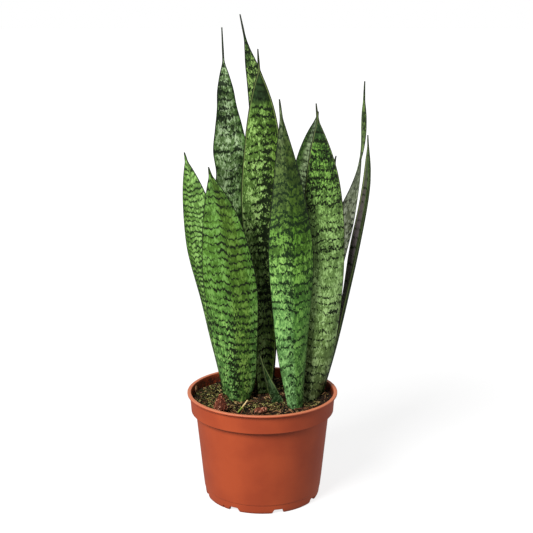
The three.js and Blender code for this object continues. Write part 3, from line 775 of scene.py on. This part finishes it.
LEAVES = {
    "leaf_far_left": {
        "seed": 11, "spacing": 5.6, "thin": 0.3, "thick": 0.9, "teeth": 1.4, "broken": 0.3,
        "bend": [(0, -3), (0.45, 5), (1, 0)], "patches": 1.5,
        "depth": 0.92, "halo": 0.3, "flecks": [(0, 7), (0.45, 7), (0.6, 3), (1, 2)],
        "dark_along": [(0, 1.0), (0.3, 0.3), (0.5, 0.7), (0.6, 0.3), (1, 0.3)],
        "tint_and_shade": [(0, "#FFFFFF"), (0.6, "#FFFFFF"), (0.85, "#E4E8D4"), (1, "#A8B890")],
        "ground": [(0, "#3C5C2A"), (0.5, "#557C32"), (1, "#678E42")], "light": [(0, "#92BC68")],
        "dark": "#0B1607", "dark_soft": "#1C3014"},
    "leaf_front_left": {
        "seed": 23, "flecks": [(0, 15), (0.13, 14), (0.3, 9), (0.55, 4), (1, 3)],
        "sway": 3.0, "steps": 1.6, "teeth": 2.6,
        "bend": [(0, 3), (0.4, 3), (0.55, -1.5), (1, -2)],
        "dark_along": [(0, 0.6), (0.07, 0), (0.16, -0.5), (0.28, 0), (0.38, 0.4), (0.45, 0),
                       (1, 0)],
        "fold": [(0, 0.8), (0.1, 1.8), (0.25, 1.8), (0.33, 0.3), (0.6, 0.4), (1, 0)],
        "tint_and_shade": [(0, "#FFFFFF"), (0.1, "#FFFFFF"), (0.2, "#DCD4B8"), (0.42, "#DCD4B8"),
                 (0.55, "#FFFFFF"), (1, "#FFFFFF")],
        "ground": [(0, "#35562E"), (0.15, "#4C7638"), (0.35, "#527E36"), (0.55, "#4C7628"),
                   (0.8, "#4C7226"), (1, "#4A6A2E")],
        "light": [(0, "#86AC62"), (0.35, "#86B45A"), (0.5, "#6F9B4A"), (1, "#6F9B4A")]},
    "leaf_back_left": {
        "seed": 37, "spacing": 9.0, "thin": -0.8, "thick": 1.4, "soft": 0.5, "depth": 0.94,
        "patches": 7.0, "patch_scale": (0.05, 0.05, 0.05), "halo": 0.5,
        "flecks": [(0, 14), (0.45, 14), (0.6, 12), (0.8, 11), (1, 10)], "streaks": 0.4,
        "dark_along": [(0, 1.2), (0.4, 0.8), (0.6, 0.4), (0.8, 0.6), (1, 0.6)],
        "fold": [(0, 0), (0.5, 0.6), (0.6, 0), (1, 0)],
        "tint_and_shade": [(0, "#86A660"), (0.14, "#FFFFFF"), (0.75, "#FFFFFF"), (0.95, "#7C9C60"),
                 (1, "#7C9C60")],
        "ground": [(0, "#36502A"), (0.35, "#4A6632"), (0.5, "#56733E"), (0.65, "#6A8A50"),
                   (0.85, "#5C7844"), (1, "#52683F")],
        "light": [(0, "#94B274"), (0.5, "#A2C084"), (0.65, "#BCD6A4"), (1, "#AECB98")],
        "light_share": 1.0, "dark": "#0C150A", "dark_soft": "#22301C", "point_from": 0.915,
        "point": "#30382A"},
    "leaf_back_centre": {
        "seed": 41, "flecks": [(0, 10), (0.6, 12), (1, 14)], "patches": 5.0, "halo": 0.45,
        "ground": [(0, "#4A6A30"), (0.12, "#8AAC5C"), (0.45, "#86A858"), (0.6, "#6E8E48"),
                   (0.8, "#587634"), (0.87, "#44602C"), (1, "#344C24")],
        "dark_along": [(0, 1.5), (0.2, 0), (0.8, 0), (0.87, 0.5), (1, 0.5)],
        "light": [(0, "#B0D080"), (0.7, "#A8C878"), (0.85, "#8CAC5C"), (1, "#7C9C50")],
        "light_share": 1.0, "point_from": 0.935, "point": "#20261A"},
    "leaf_centre": {
        "seed": 53, "flecks": [(0, 9), (0.45, 12), (0.6, 12), (0.8, 11), (0.84, 9), (0.88, 3),
                               (1, 2)],
        "patches": 4.0, "spacing": 9.0, "halo": 0.4,
        "dark_along": [(0, 0.2), (0.2, 0.2), (0.5, 0.4), (0.8, 0), (0.84, 0.4), (0.875, -0.4),
                       (1, -0.6)],
        "fold_at": 0.62, "fold": [(0, 0), (0.35, 0.6), (0.5, 1.6), (0.72, 1.4), (0.8, 0.2),
                                  (1, 0)],
        "dark_across": [(0, -1.2), (0.22, -0.6), (0.4, 0.1), (0.62, 0), (0.75, 0.5), (1, 0.4)],
        "tint_and_shade": [(0, "#FFFFFF"), (0.55, "#FFFFFF"), (0.8, "#B0B890"), (1, "#8C9A68")],
        "ground": [(0, "#8CB860"), (0.2, "#84A856"), (0.35, "#6A8846"), (0.55, "#5E803C"),
                   (0.8, "#587A30"), (0.845, "#4E6E2C"), (0.87, "#283A20"), (1, "#24361C")],
        "light": [(0, "#C8E898"), (0.35, "#B8DA88"), (0.5, "#B0D480"), (0.8, "#A0C86C"),
                  (0.845, "#7CA44E"), (0.87, "#304A24"), (1, "#3A562C")],
        "light_share": 1.0, "point_from": 0.952, "pale_margin": 0.6},
    # Painted shade: this leaf's ground darkens to grey-olive above halfway up.
    "leaf_front_right": {
        "seed": 67, "spacing": 10.0, "bend": [(0, -3), (0.3, 0), (0.45, 3), (0.6, -1), (1, 2)],
        "uneven": 4.0, "halo": 0.35, "dark_soft": "#1A3414", "teeth": 2.4,
        "flecks": [(0, 16), (0.12, 15), (0.25, 10), (0.5, 8), (0.66, 12), (0.85, 9), (1, 5)],
        "patches": 3.5,
        "dark_along": [(0, 0), (0.08, -0.9), (0.2, -0.6), (0.35, -0.4), (0.52, 0), (0.65, 0.8),
                       (0.75, 0.2), (1, 0)],
        "fold_at": 0.56, "fold": [(0, 0.6), (0.2, 1.4), (0.4, 1.2), (0.5, 0.8), (1, 0.3)],
        "tint_and_shade": [(0, "#D4DCC0"), (0.45, "#CCD8B4"), (0.53, "#FFFFFF"), (1, "#FFFFFF")],
        "ground": [(0, "#3C5A36"), (0.12, "#4E743E"), (0.35, "#60904A"), (0.55, "#4A6E28"),
                   (0.68, "#3C5424"), (0.85, "#3C4A26"), (1, "#525F41")],
        "light": [(0, "#74A068"), (0.15, "#86B46C"), (0.5, "#94C264"), (0.6, "#6C9A3E"),
                  (0.68, "#56702E"), (0.85, "#5A6E3A"), (1, "#7A8468")], "point_from": 0.97},
    "leaf_right": {
        "seed": 79, "spacing": 9.5, "uneven": 4.0, "patches": 4.5, "halo": 0.35,
        "flecks": [(0, 8), (0.3, 10), (0.55, 11), (0.7, 13), (0.85, 14), (0.93, 6), (1, 3)],
        "dark_along": [(0, 0.2), (0.12, -0.4), (0.45, -0.6), (0.6, 0), (0.86, 0.9),
                       (0.9, 0.4), (1, 0.4)],
        "dark_across": [(0, 0.6), (0.2, 0.1), (0.85, 0), (0.95, 0.6), (1, 0.6)],
        "ground": [(0, "#525A32"), (0.12, "#566A3A"), (0.25, "#6A8646"), (0.4, "#749650"),
                   (0.65, "#6A8C46"), (0.76, "#486A2A"), (0.88, "#3A5E24"), (0.92, "#263C22"),
                   (1, "#283C22")],
        "light": [(0, "#8C9C6C"), (0.2, "#98B474"), (0.35, "#B0D488"), (0.6, "#A8D07C"),
                  (0.76, "#8CBC58"), (0.86, "#7CAC48"), (0.91, "#3C5830"), (1, "#3E5A30")],
        "light_share": 1.0, "point_from": 0.965, "pale_margin": 0.4},
    "leaf_back_right": {
        "seed": 83, "spacing": 5.0, "thin": 0.0, "thick": 0.9, "soft": 0.6, "depth": 0.9,
        "tint_and_shade": [(0, "#7C9C66"), (0.15, "#8AA470"), (0.3, "#FFFFFF"), (1, "#FFFFFF")],
        "ground": [(0, "#33452A"), (0.5, "#495B36"), (0.85, "#5A6E46"), (1, "#64725A")],
        "light": [(0, "#8CA074")], "light_share": 1.0, "sway": 2.0},
    "leaf_hidden": {
        "seed": 97, "ground": [(0, "#3A5530"), (0.8, "#3A5530"), (0.93, "#232E1A"),
                               (1, "#20281A")]},
    "leaf_twisted": {
        "seed": 101, "soft": 0.7, "depth": 0.92, "patches": 9.0, "thin": -1.2, "thick": 1.0,
        "patch_scale": (0.16, 0.02, 0.05),
        "ground": [(0, "#38452C"), (0.4, "#A0AC84"), (0.66, "#98A67C"), (0.78, "#485A30"),
                   (0.85, "#3C4E28"), (1, "#364A24")],
        "light": [(0, "#E4ECD4"), (0.66, "#DAE4C8"), (0.8, "#70884A"), (1, "#5A7238")],
        "dark": "#0E140A", "dark_soft": "#222B1C", "streaks": 0.6,
        "dark_along": [(0, 1.2), (0.4, 0.1), (0.7, 0.1), (1, 0)],
        "flecks": [(0, 12), (0.7, 12), (0.8, 9), (1, 9)]},
    "leaf_narrow_right": {
        "seed": 113, "spacing": 9.0, "thin": -0.8, "thick": 0.9, "flecks": [(0, 3), (1, 5)],
        "tint_and_shade": [(0, "#FFFFFF"), (0.6, "#FFFFFF"), (0.8, "#B8D09C"), (1, "#B8D09C")],
        "ground": [(0, "#2A3A20"), (0.5, "#33431F"), (0.8, "#34481E"), (1, "#3A5626")],
        "inner_sheen": [(0, "#7A6C6C"), (0.3, "#8C7E82"), (0.6, "#665C5E"), (0.8, "#48443E"),
                  (1, "#34502A")],
        "inner_sheen_to": 0.42, "light": [(0, "#6A7A50")], "light_share": 0.5, "pale_margin": 0.7},
    "leaf_young": {
        "seed": 127, "spacing": 6.0, "thin": -1.2, "thick": 0.3, "teeth": 0.6,
        "flecks": [(0, 3), (1, 3)], "pale_margin": 0.6,
        "ground": [(0, "#1E3416"), (1, "#2A4620")], "light": [(0, "#4C6440")],
        "tint_and_shade": [(0, "#FFFFFF"), (0.45, "#FFFFFF"), (0.55, "#D8D0C0"), (1, "#D8D0C0")]},
}
for name, own in LEAVES.items():
    skin = leaf_skin(name + "_waxy_skin", {**PLAIN, **own})
    grown_leaf(name + "_blade", name, skin)


# ------------------------------------------------------------------ loose litter
# What lies on the peat: olive strands of dried sphagnum moss, fine brown roots, crumbs of peat,
# two lumps of coir, a chip of bark and a cut stalk of straw. None of it is fixed.
LITTER_EDGE = 72.5           # nothing lies further than this from the pot's axis
STRAND_SIDES = 5
STRAND_STEPS = 6
leaf_trees = []
for name in sorted(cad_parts):
    if name.startswith("leaf_"):
        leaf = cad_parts[name].data
        leaf_trees.append(BVHTree.FromPolygons([v.co for v in leaf.vertices],
                                               [list(f.vertices) for f in leaf.polygons]))
chance = random.Random(7)


def clear_of_leaves(x, y, z, gap):
    """True where a point, in mm from the pot's axis, is at least a gap outside every leaf."""
    spot = POT_AXIS + Vector((x, y, z)) * MM
    for tree in leaf_trees:
        near, normal, face, distance = tree.find_nearest(spot)
        if distance < gap * MM or (spot - near).dot(normal) < -0.9 * distance:
            return False
    return True


def add_strand(corners, faces, shades, path, radius, shade):
    """A thin tube along a path, narrowed at its ends, added to the lists of one mesh."""
    start = len(corners)
    for number, point in enumerate(path):
        ahead = path[min(number + 1, len(path) - 1)] - path[max(number - 1, 0)]
        side = ahead.cross(Vector((0.3, 0.2, 1))).normalized()
        up = side.cross(ahead).normalized()
        share = number / (len(path) - 1)
        width = radius * (0.35 + 0.65 * math.sin(math.pi * min(max(share, 0.08), 0.92)))
        for i in range(STRAND_SIDES):
            turn = 2 * math.pi * i / STRAND_SIDES
            corners.append(point + (side * math.cos(turn) + up * math.sin(turn)) * width)
            shades.append(shade)
    last = len(corners) - STRAND_SIDES
    for low in range(start, last, STRAND_SIDES):
        faces += wall(low, low + STRAND_SIDES, STRAND_SIDES)
    faces.append([start + i for i in reversed(range(STRAND_SIDES))])
    faces.append([last + i for i in range(STRAND_SIDES)])


def lay_strand(corners, faces, shades, x, y, kind):
    """Lays a strand on the peat from a point, unless it would meet a leaf or the edge. It turns
    as it goes and lifts off in an arch."""
    length, arch = chance.uniform(*kind["length"]), chance.uniform(*kind["arch"])
    heading = chance.uniform(0, 2 * math.pi)
    turning = chance.uniform(-kind["curl"], kind["curl"])
    path = []
    for number in range(STRAND_STEPS + 1):
        lift = 0.2 + arch * math.sin(math.pi * number / STRAND_STEPS)
        path.append(Vector((x, y, crumbled(x, y) + lift)))
        heading += turning + chance.uniform(-0.35, 0.35)
        x += math.cos(heading) * length / STRAND_STEPS
        y += math.sin(heading) * length / STRAND_STEPS
    shade = chance.uniform(*kind["shade"])
    inside = max(math.hypot(point.x, point.y) for point in path) <= LITTER_EDGE
    if inside and all(clear_of_leaves(*point, kind["gap"]) for point in path[::kind["every"]]):
        add_strand(corners, faces, shades, path, chance.uniform(*kind["radius"]), shade)


def add_litter(name, corners, faces, shades, material):
    """One mesh of loose bits, with each bit's own shade of its colour as an attribute."""
    made = add_mesh(name, [POT_AXIS + Vector(c) * MM for c in corners], faces, material)
    layer = made.data.attributes.new("shade", "FLOAT", "POINT")
    layer.data.foreach_set("value", shades)
    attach(made, "root")
    return made


def litter_finish(name, stops, roughness, grain):
    """A dry plant fibre: matt, its colour from each bit's shade, with a fine grain across it."""
    material, tree, shader = new_material(name)
    shade = add_node(tree, "Attribute", attribute_name="shade", output="Fac")
    place = add_node(tree, "NewGeometry", output="Position")
    speck = add_node(tree, "TexNoise", {"Vector": place, "Scale": 1 / (grain * MM),
                                        "Detail": 3.0, "Roughness": 0.7})
    shade = add_node(tree, "Math", {0: speck, 1: 0.7, 2: shade}, operation="MULTIPLY_ADD")
    shade = add_node(tree, "Math", {0: shade, 1: 0.35}, operation="SUBTRACT")
    colour = add_node(tree, "ValToRGB", {"Fac": shade}, stops=stops)
    feed(tree, shader, {
        "Base Color": colour, "Roughness": roughness, "Specular IOR Level": 0.15,
        "Normal": add_node(tree, "Bump", {"Height": speck, "Strength": 0.6,
                                          "Distance": 0.5 * MM})})
    return material


# Sphagnum, dried: dull olive, with some tips still yellow-green. Its strands are 0.3 mm thick
# and are drawn at 0.5 to 1 mm, as clumps of a few together. A bed is a place and its spread.
MOSS_BEDS = [(-56, 34, 13), (-52, 18, 14), (-62, 12, 10), (-44, -2, 11), (-60, -6, 9),
             (0, -24, 13), (18, -18, 12), (-22, -28, 9), (-14, 0, 8), (52, -16, 8),
             (30, 50, 14), (-20, 58, 14), (-58, -22, 8), (62, 14, 7)]
BED_STRANDS = 14             # per mm of a bed's spread
MOSS = {"length": (2.5, 7), "arch": (0.2, 1.8), "curl": 0.5, "radius": (0.25, 0.48),
        "shade": (0.1, 0.95), "gap": 0.5, "every": 3}
dried_moss = litter_finish("dried_sphagnum_moss", [
    (0.0, "#0A0803"), (0.35, "#1C1A0B"), (0.6, "#383418"), (0.8, "#6A6634"), (1.0, "#B4B06C")],
    0.85, 1.2)
corners, faces, shades = [], [], []
for x, y, spread in MOSS_BEDS:
    for number in range(int(spread * BED_STRANDS)):
        px, py = x + chance.gauss(0, spread * 0.6), y + chance.gauss(0, spread * 0.6)
        lay_strand(corners, faces, shades, px, py, MOSS)
add_litter("moss_strands", corners, faces, shades, dried_moss)

# Roots and coconut fibre: wiry, brown to straw-coloured, 0.2 mm thick and drawn at 0.4 to
# 0.8 mm so that they show.
ROOT = {"length": (4, 13), "arch": (0.1, 2.0), "curl": 0.3, "radius": (0.22, 0.42),
        "shade": (0.05, 1.0), "gap": 0.4, "every": 2}
ROOT_COUNT = 900
coconut_fibre = litter_finish("coconut_fibre", [
    (0.0, "#160C08"), (0.4, "#3C2216"), (0.75, "#74492E"), (1.0, "#B89468")], 0.8, 0.8)
corners, faces, shades = [], [], []
for number in range(ROOT_COUNT):
    reach, turn = 72 * math.sqrt(chance.random()), chance.uniform(0, 2 * math.pi)
    lay_strand(corners, faces, shades, reach * math.cos(turn), reach * math.sin(turn), ROOT)
add_litter("root_fibres", corners, faces, shades, coconut_fibre)


# Crumbs of peat, 1 to 4 mm across, black where moist and brown where dry.
CRUMB_COUNT = 2400
CRUMB_SIZES = (0.5, 0.6, 0.7, 0.8, 1.0, 1.3, 1.8)        # radius, mm


def add_lump(corners, faces, shades, middle, size, shade, detail, roughness):
    """A rough lump: a ball pulled out of round by noise, added to the lists of one mesh."""
    shape = bmesh.new()
    bmesh.ops.create_icosphere(shape, subdivisions=detail, radius=1)
    start = len(corners)
    away = Vector((chance.uniform(0, 99), 0, 0))
    for corner in shape.verts:
        swell = 1 + roughness * noise.fractal(corner.co * 1.3 + away, 0.8, 2, 3)
        corners.append(middle + Vector(c * s for c, s in zip(corner.co * swell, size)))
        shades.append(shade)
    for face in shape.faces:
        faces.append([start + corner.index for corner in face.verts])
    shape.free()


loose_peat = litter_finish("loose_peat_crumbs", [
    (0.0, "#080503"), (0.4, "#150F08"), (0.65, "#33251A"), (0.85, "#553C26"), (1.0, "#9A8456")],
    0.95, 1.5)
corners, faces, shades = [], [], []
for number in range(CRUMB_COUNT):
    reach, turn = LITTER_EDGE * math.sqrt(chance.random()), chance.uniform(0, 2 * math.pi)
    x, y = reach * math.cos(turn), reach * math.sin(turn)
    size = chance.choice(CRUMB_SIZES)
    z = crumbled(x, y) + size * 0.3
    shade = chance.random() ** 1.4
    if reach + size < LITTER_EDGE + 1 and clear_of_leaves(x, y, z, size):
        add_lump(corners, faces, shades, Vector((x, y, z)),
                 (size, size * chance.uniform(0.6, 1), size * 0.8), shade, 1 + (size > 0.9), 0.6)
add_litter("peat_crumbs", corners, faces, shades, loose_peat)

# Coir: the pressed husk of a coconut, red-brown, a mat of stiff fibres 0.3 mm thick (drawn at
# 0.6 mm) over a torn lump. Each lump keeps the place and size of its block in the frame.
coir_husk = litter_finish("torn_coir_husk", [
    (0.0, "#1C0D08"), (0.35, "#54281A"), (0.6, "#8A4A34"), (0.85, "#B8765A"), (1.0, "#D6A284")],
    0.85, 0.9)
COIR_FIBRES = {"coir_chunk_left": 230, "coir_chunk_front": 110}


def finer_block(node, cuts):
    """The frame's block with each edge cut again, all in triangles that face outwards."""
    block = bmesh.new()
    block.from_mesh(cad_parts[node].data)
    bmesh.ops.remove_doubles(block, verts=block.verts, dist=0.01 * MM)
    bmesh.ops.subdivide_edges(block, edges=block.edges, cuts=cuts, use_grid_fill=True)
    bmesh.ops.triangulate(block, faces=block.faces)
    bmesh.ops.recalc_face_normals(block, faces=block.faces)
    return block


for node, fibres in COIR_FIBRES.items():
    block = finer_block(node, 3)
    corners, shades = [], []
    for corner in block.verts:
        spot = (corner.co - POT_AXIS) / MM
        pits = 0.9 * abs(noise.noise(spot / 1.8)) + 0.5
        corners.append(spot - corner.normal * pits)
        shades.append(0.1 + 0.4 * chance.random())
    faces = [[corner.index for corner in face.verts] for face in block.faces]
    block.faces.ensure_lookup_table()
    grain = Vector((0.25, 0.1, 1)).normalized()
    for number in range(fibres):
        face = block.faces[chance.randrange(len(block.faces))]
        stray = Vector((chance.gauss(0, 0.5), chance.gauss(0, 0.5), chance.gauss(0, 0.4)))
        along = grain + stray
        along = (along - face.normal * along.dot(face.normal)).normalized()
        middle = (face.calc_center_median() - POT_AXIS) / MM - face.normal * 0.5
        length = chance.uniform(1.5, 4.5)
        path = [middle + along * length * (t - 0.5) - face.normal * 1.6 * (2 * t - 1) ** 2
                for t in (0, 0.2, 0.4, 0.6, 0.8, 1)]
        add_strand(corners, faces, shades, path, chance.uniform(0.2, 0.38),
                   chance.uniform(0.25, 1.0))
    block.free()
    made = add_litter(node + "_husk", corners, faces, shades, coir_husk)
    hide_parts(node)

# A chip of pine bark: flat, in thin corky plates, brown with a pale broken edge.
corky_bark = litter_finish("corky_pine_bark", [
    (0.0, "#2A1A12"), (0.4, "#5E3F2A"), (0.7, "#8F6B4A"), (1.0, "#C2A074")], 0.9, 1.4)
block = finer_block("bark_chip", 4)
corners, shades = [], []
for corner in block.verts:
    spot = (corner.co - POT_AXIS) / MM
    plate = abs((spot.z * 1.4 + noise.noise(spot / 3)) % 1 - 0.5)
    corners.append(spot - corner.normal * (0.7 * plate + 0.2 * abs(noise.noise(spot / 0.8))))
    shades.append(0.3 + plate)
faces = [[corner.index for corner in face.verts] for face in block.faces]
block.free()
made = add_litter("bark_chip_plates", corners, faces, shades, corky_bark)
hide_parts("bark_chip")

# A cut stalk of straw: a hollow stem 1.6 mm thick, pale and dry above and still green at the end
# that lies in the peat, with a swollen joint between them.
straw_skin = litter_finish("dry_straw", [
    (0.0, "#5F7A2C"), (0.3, "#93A445"), (0.45, "#B39A62"), (0.7, "#C9AC78"), (1.0, "#D9BE8E")],
    0.55, 2.0)
STRAW_SIDES = 12
STRAW_SAG = 0.35
STRAW_RIDGE = 0.05           # every second corner stands out by this share, as a rib
# Share of the length and radius: the stem, its joint, the stem again and the hollow cut end.
STRAW_ROWS = ([(t, 0.72) for t in np.linspace(0, 0.38, 6)]
              + [(0.40, 0.86), (0.42, 0.88), (0.44, 0.72)]
              + [(t, 0.7) for t in np.linspace(0.5, 0.97, 8)]
              + [(1.0, 0.68), (0.995, 0.45), (0.9, 0.42)])
ends = np.array([(v.co - POT_AXIS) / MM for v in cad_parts["straw_stalk"].data.vertices])
middle = ends.mean(0)
direction = np.linalg.svd(ends - middle, full_matrices=False)[2][0]
if direction[2] < 0:
    direction = -direction
reaches = (ends - middle) @ direction
along = Vector(direction)
side = along.cross(Vector((0, 0, 1))).normalized()
up = side.cross(along)
corners, faces, shades = [], [], []
for share, radius in STRAW_ROWS:
    sag = STRAW_SAG * math.sin(math.pi * share)
    point = Vector(middle) + along * (reaches.min() + share * (reaches.max() - reaches.min()))
    for i in range(STRAW_SIDES):
        turn = 2 * math.pi * i / STRAW_SIDES
        ridge = radius * (1 + STRAW_RIDGE * (i % 2))
        corners.append(point + (side * math.cos(turn) + up * math.sin(turn)) * ridge - up * sag)
        shades.append(min(max((share - 0.3) * 2.4 + 0.15, 0.1), 0.85))
for low in range(0, len(corners) - STRAW_SIDES, STRAW_SIDES):
    faces += wall(low, low + STRAW_SIDES, STRAW_SIDES)
faces.append(list(reversed(range(STRAW_SIDES))))
faces.append(list(range(len(corners) - STRAW_SIDES, len(corners))))
made = add_litter("straw_stalk_stem", corners, faces, shades, straw_skin)
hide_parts("straw_stalk")


# ------------------------------------------------------------------------ stage
# A plain white floor under soft studio light: one large softbox from the front left, a weak one
# from the right that only lifts the shadows, and an even light from all round.
STUDIO_LIGHT = 0.32          # the even light's strength; the studio itself looks fully white
FLOOR_REACH = 60.0
floor_surface, tree, shader = new_material("white_studio_floor")
# The floor brightens outwards into the white of the studio, so that it has no visible end.
away = add_node(tree, "VectorMath", {0: add_node(tree, "NewGeometry", output="Position")},
                operation="LENGTH", output="Value")
glow = add_node(tree, "MapRange", {"Value": away, "From Min": 0.3, "From Max": 1.6,
                                   "To Min": 0.8, "To Max": 1.05})
feed(tree, shader, {"Base Color": paint("#8A8A8A"), "Roughness": 0.9, "Specular IOR Level": 0.0,
                    "Emission Color": (1, 1, 1, 1), "Emission Strength": glow})
floor_corners = [(x * FLOOR_REACH, y * FLOOR_REACH, 0)
                 for x, y in ((-1, -1), (1, -1), (1, 1), (-1, 1))]
floor = add_mesh("studio_floor", floor_corners, [(0, 1, 2, 3)], floor_surface)
floor.visible_diffuse = False
floor.visible_glossy = False

world = bpy.data.worlds.new("studio")
world.use_nodes = True
bpy.context.scene.world = world
tree = world.node_tree
shader = tree.nodes["Background"]
seen = add_node(tree, "LightPath", output="Is Camera Ray")
level = add_node(tree, "MapRange", {"Value": seen, "To Min": STUDIO_LIGHT, "To Max": 1.0})
feed(tree, shader, {"Color": (1, 1, 1, 1), "Strength": level})


def softbox(name, azimuth, elevation, distance, size, power):
    """A square softbox aimed at the plant, from an azimuth to the right of the front."""
    light = bpy.data.lights.new(name, "AREA")
    light.size = size
    light.energy = power
    lamp = bpy.data.objects.new(name, light)
    bpy.context.scene.collection.objects.link(lamp)
    turn, rise = math.radians(azimuth), math.radians(elevation)
    aim = Vector((POT_AXIS.x, POT_AXIS.y, 0.25))
    away = Vector((math.sin(turn) * math.cos(rise), -math.cos(turn) * math.cos(rise),
                   math.sin(rise)))
    lamp.location = aim + away * distance
    lamp.rotation_euler = away.to_track_quat("Z", "Y").to_euler()


softbox("key_softbox", azimuth=-38, elevation=36, distance=1.9, size=0.9, power=59)
softbox("fill_softbox", azimuth=80, elevation=20, distance=1.9, size=0.9, power=8)

# The camera stands 1.1 m in front of the pot's axis and half a metre up, looking a little down.
CAMERA_AWAY = 1.1
CAMERA_RISE = 0.5
CAMERA_ASIDE = 4.42          # mm to the right of the pot's axis
CAMERA_PITCH = 12.81
CAMERA_LENS = 73.15
camera = bpy.data.objects.new("camera", bpy.data.cameras.new("camera"))
camera.data.lens = CAMERA_LENS
camera.data.sensor_width = 36
camera.location = (POT_AXIS.x + CAMERA_ASIDE * MM, POT_AXIS.y - CAMERA_AWAY, CAMERA_RISE)
camera.rotation_euler = (math.radians(90 - CAMERA_PITCH), 0, 0)
bpy.context.scene.collection.objects.link(camera)
bpy.context.scene.camera = camera
bpy.context.scene.view_settings.view_transform = "Standard"
